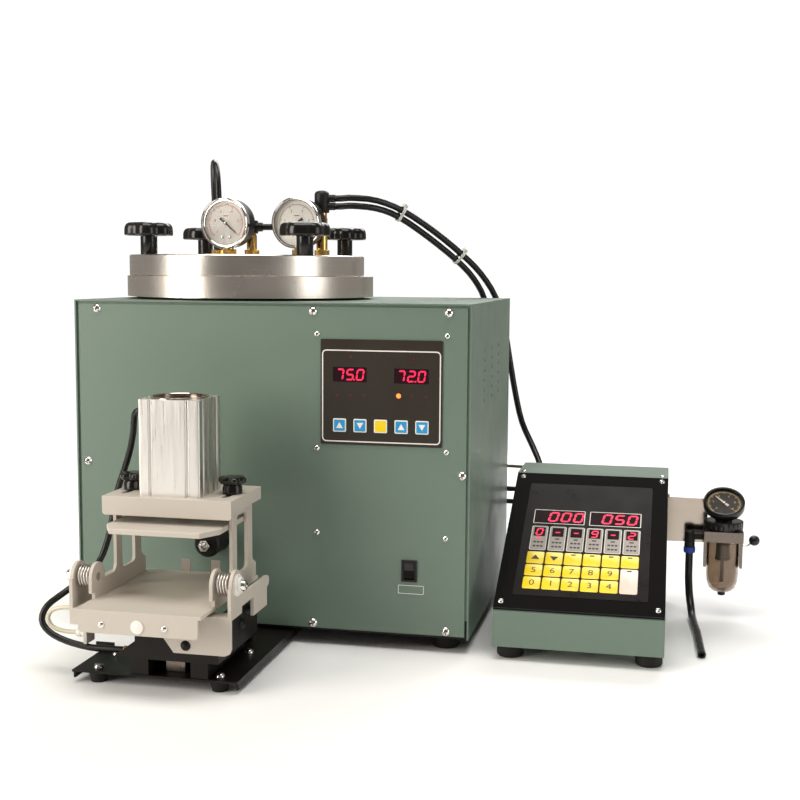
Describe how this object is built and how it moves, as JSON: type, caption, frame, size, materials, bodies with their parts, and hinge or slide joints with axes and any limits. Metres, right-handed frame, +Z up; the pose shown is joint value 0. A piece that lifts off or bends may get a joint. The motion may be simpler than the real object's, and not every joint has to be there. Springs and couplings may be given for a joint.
{
  "type": "wax injector",
  "caption": "Bench vacuum wax injector for lost-wax casting: heated pot under a gauged lid, pneumatic mould clamp at the nozzle, sloped keypad controller and air filter regulator.",
  "frame": {"origin": "on the floor, under the middle of the object's box without its free hoses and cables", "axes": "+X to the right along the cabinet front, +Y away from the user, +Z up"},
  "size_m": [0.679, 0.4983, 0.4852],
  "materials": {
    "green_paint": "hammered powder coat",
    "black_paint": "satin",
    "beige_paint": "fine texture powder coat",
    "grey_paint": "satin",
    "white_paint": "satin",
    "bright_steel": "bright nickel plate",
    "gauge_steel": "stainless, satin",
    "zinc_steel": "zinc plate",
    "aluminium": "turned and brushed",
    "brass": "bright",
    "rubber": "matte",
    "air_hose": "polyurethane hose",
    "black_plastic": "moulded, satin",
    "black_acrylic": "polished acrylic",
    "dark_film": "printed polyester film",
    "blue_key": "embossed film",
    "yellow_key": "embossed film",
    "circuit_board": "glass fibre board",
    "glass": "clear",
    "smoked_bowl": "smoked polycarbonate",
    "filter_felt": "sintered plastic"
  },
  "bodies": {
    "machine": {"cabinet_shell": "green_paint", "front_panel": "green_paint", "rear_panel": "green_paint", "base_pan": "black_paint", "rubber_feet": "rubber", "steel_screws": "bright_steel", "control_overlay": "dark_film", "snap_in_housings": "black_plastic", "control_board": "circuit_board", "vacuum_pump": "grey_paint", "wax_pot": "aluminium", "pot_seals": "rubber", "heater_band": "bright_steel", "nozzle_housing": "black_plastic", "clamp_base": "black_paint", "guide_rods": "bright_steel", "advance_cylinder": "aluminium", "controller_case": "green_paint", "controller_panel": "black_acrylic", "cables_and_fittings": "air_hose", "regulator_bracket": "zinc_steel", "regulator_body": "grey_paint", "regulator_gauge": "black_plastic", "filter_bowl": "smoked_bowl", "filter_element": "filter_felt", "supply_hose": "air_hose"},
    "lid": {"lid": "aluminium", "lid_fittings": "brass", "lid_hoses": "air_hose", "vacuum_gauge": "gauge_steel", "pressure_gauge": "gauge_steel", "gauge_glasses": "glass"},
    "carriage": {"carriage": "black_paint", "lower_frame": "beige_paint", "pivot_bolts": "bright_steel", "pivot_springs": "bright_steel", "clamp_hoses": "air_hose"},
    "clamp_head": {"clamp_frame": "beige_paint", "top_tray": "beige_paint", "press_cylinder": "aluminium"},
    "press": {"press_rod": "bright_steel", "press_plate": "beige_paint"},
    "lid_knob_1": {"lid_knob_1": "black_plastic"},
    "lid_knob_2": {"lid_knob_2": "black_plastic"},
    "lid_knob_3": {"lid_knob_3": "black_plastic"},
    "lid_knob_4": {"lid_knob_4": "black_plastic"},
    "vacuum_needle": {"vacuum_needle": "black_paint"},
    "pressure_needle": {"pressure_needle": "black_paint"},
    "heat_up_key": {"heat_up_key": "blue_key"},
    "heat_down_key": {"heat_down_key": "blue_key"},
    "mode_key": {"mode_key": "yellow_key"},
    "time_up_key": {"time_up_key": "blue_key"},
    "time_down_key": {"time_down_key": "blue_key"},
    "power_rocker": {"power_rocker": "black_plastic"},
    "nozzle_tip": {"nozzle_tip": "bright_steel"},
    "tray_knob_left": {"tray_knob_left": "black_plastic"},
    "tray_knob_right": {"tray_knob_right": "black_plastic"},
    "regulator_knob": {"regulator_knob": "black_plastic"},
    "regulator_needle": {"regulator_needle": "white_paint"},
    "shutoff_lever": {"shutoff_lever": "black_plastic"}
  },
  "joints": [
    {"name": "lid_lift", "type": "slide", "parent": "machine", "child": "lid", "axis": [0, 0, 1], "range_m": [0, 0.09], "deforming": ["lid_hoses"]},
    {"name": "lid_knob_1_turn", "type": "hinge", "parent": "lid", "child": "lid_knob_1", "pos_m": [-0.12048, 0.17928, 0.38], "axis": [0, 0, 1], "continuous": true},
    {"name": "lid_knob_2_turn", "type": "hinge", "parent": "lid", "child": "lid_knob_2", "pos_m": [-0.28593, 0.17697, 0.38], "axis": [0, 0, 1], "continuous": true},
    {"name": "lid_knob_3_turn", "type": "hinge", "parent": "lid", "child": "lid_knob_3", "pos_m": [-0.28362, 0.01152, 0.38], "axis": [0, 0, 1], "continuous": true},
    {"name": "lid_knob_4_turn", "type": "hinge", "parent": "lid", "child": "lid_knob_4", "pos_m": [-0.11817, 0.01383, 0.38], "axis": [0, 0, 1], "continuous": true},
    {"name": "vacuum_reading", "type": "hinge", "parent": "lid", "child": "vacuum_needle", "pos_m": [-0.22255, 0.0809, 0.414], "axis": [-0.0872, -0.9962, 0], "range_deg": [0, 262]},
    {"name": "pressure_reading", "type": "hinge", "parent": "lid", "child": "pressure_needle", "pos_m": [-0.14405, 0.0809, 0.414], "axis": [0.0872, 0.9962, 0], "range_deg": [0, 250]},
    {"name": "heat_up_press", "type": "slide", "parent": "machine", "child": "heat_up_key", "axis": [0, 1, 0], "range_m": [0, 0.0006], "stiffness_N_per_m": 900},
    {"name": "heat_down_press", "type": "slide", "parent": "machine", "child": "heat_down_key", "axis": [0, 1, 0], "range_m": [0, 0.0006], "stiffness_N_per_m": 900},
    {"name": "mode_press", "type": "slide", "parent": "machine", "child": "mode_key", "axis": [0, 1, 0], "range_m": [0, 0.0006], "stiffness_N_per_m": 900},
    {"name": "time_up_press", "type": "slide", "parent": "machine", "child": "time_up_key", "axis": [0, 1, 0], "range_m": [0, 0.0006], "stiffness_N_per_m": 900},
    {"name": "time_down_press", "type": "slide", "parent": "machine", "child": "time_down_key", "axis": [0, 1, 0], "range_m": [0, 0.0006], "stiffness_N_per_m": 900},
    {"name": "power_switch", "type": "hinge", "parent": "machine", "child": "power_rocker", "pos_m": [0.00245, -0.0396, 0.0788], "axis": [1, 0, 0], "range_deg": [0, 14]},
    {"name": "nozzle_press", "type": "slide", "parent": "machine", "child": "nozzle_tip", "axis": [0, 1, 0], "range_m": [0, 0.003], "stiffness_N_per_m": 600},
    {"name": "carriage_slide", "type": "slide", "parent": "machine", "child": "carriage", "axis": [0, 1, 0], "range_m": [0, 0.012], "deforming": ["clamp_hoses"]},
    {"name": "head_tilt", "type": "hinge", "parent": "carriage", "child": "clamp_head", "pos_m": [-0.19205, -0.1946, 0.0955], "axis": [1, 0, 0], "range_deg": [-3, 3], "stiffness_Nm_per_rad": 80, "springref_deg": 0.86, "deforming": ["pivot_springs", "clamp_hoses"]},
    {"name": "press_slide", "type": "slide", "parent": "clamp_head", "child": "press", "axis": [0, 0, -1], "range_m": [0, 0.035]},
    {"name": "tray_knob_left_turn", "type": "hinge", "parent": "clamp_head", "child": "tray_knob_left", "pos_m": [-0.24005, -0.1306, 0.163], "axis": [0, 0, 1], "continuous": true},
    {"name": "tray_knob_right_turn", "type": "hinge", "parent": "clamp_head", "child": "tray_knob_right", "pos_m": [-0.14405, -0.1306, 0.163], "axis": [0, 0, 1], "continuous": true},
    {"name": "regulator_turn", "type": "hinge", "parent": "machine", "child": "regulator_knob", "pos_m": [0.30195, 0.1554, 0.0994], "axis": [0, 0, 1], "continuous": true},
    {"name": "regulator_reading", "type": "hinge", "parent": "machine", "child": "regulator_needle", "pos_m": [0.30195, 0.1554, 0.1248], "axis": [0, 0.5736, -0.8192], "range_deg": [-90, 180]},
    {"name": "lever_turn", "type": "hinge", "parent": "machine", "child": "shutoff_lever", "pos_m": [0.32195, 0.1554, 0.0774], "axis": [1, 0, 0], "range_deg": [0, 90]}
  ]
}
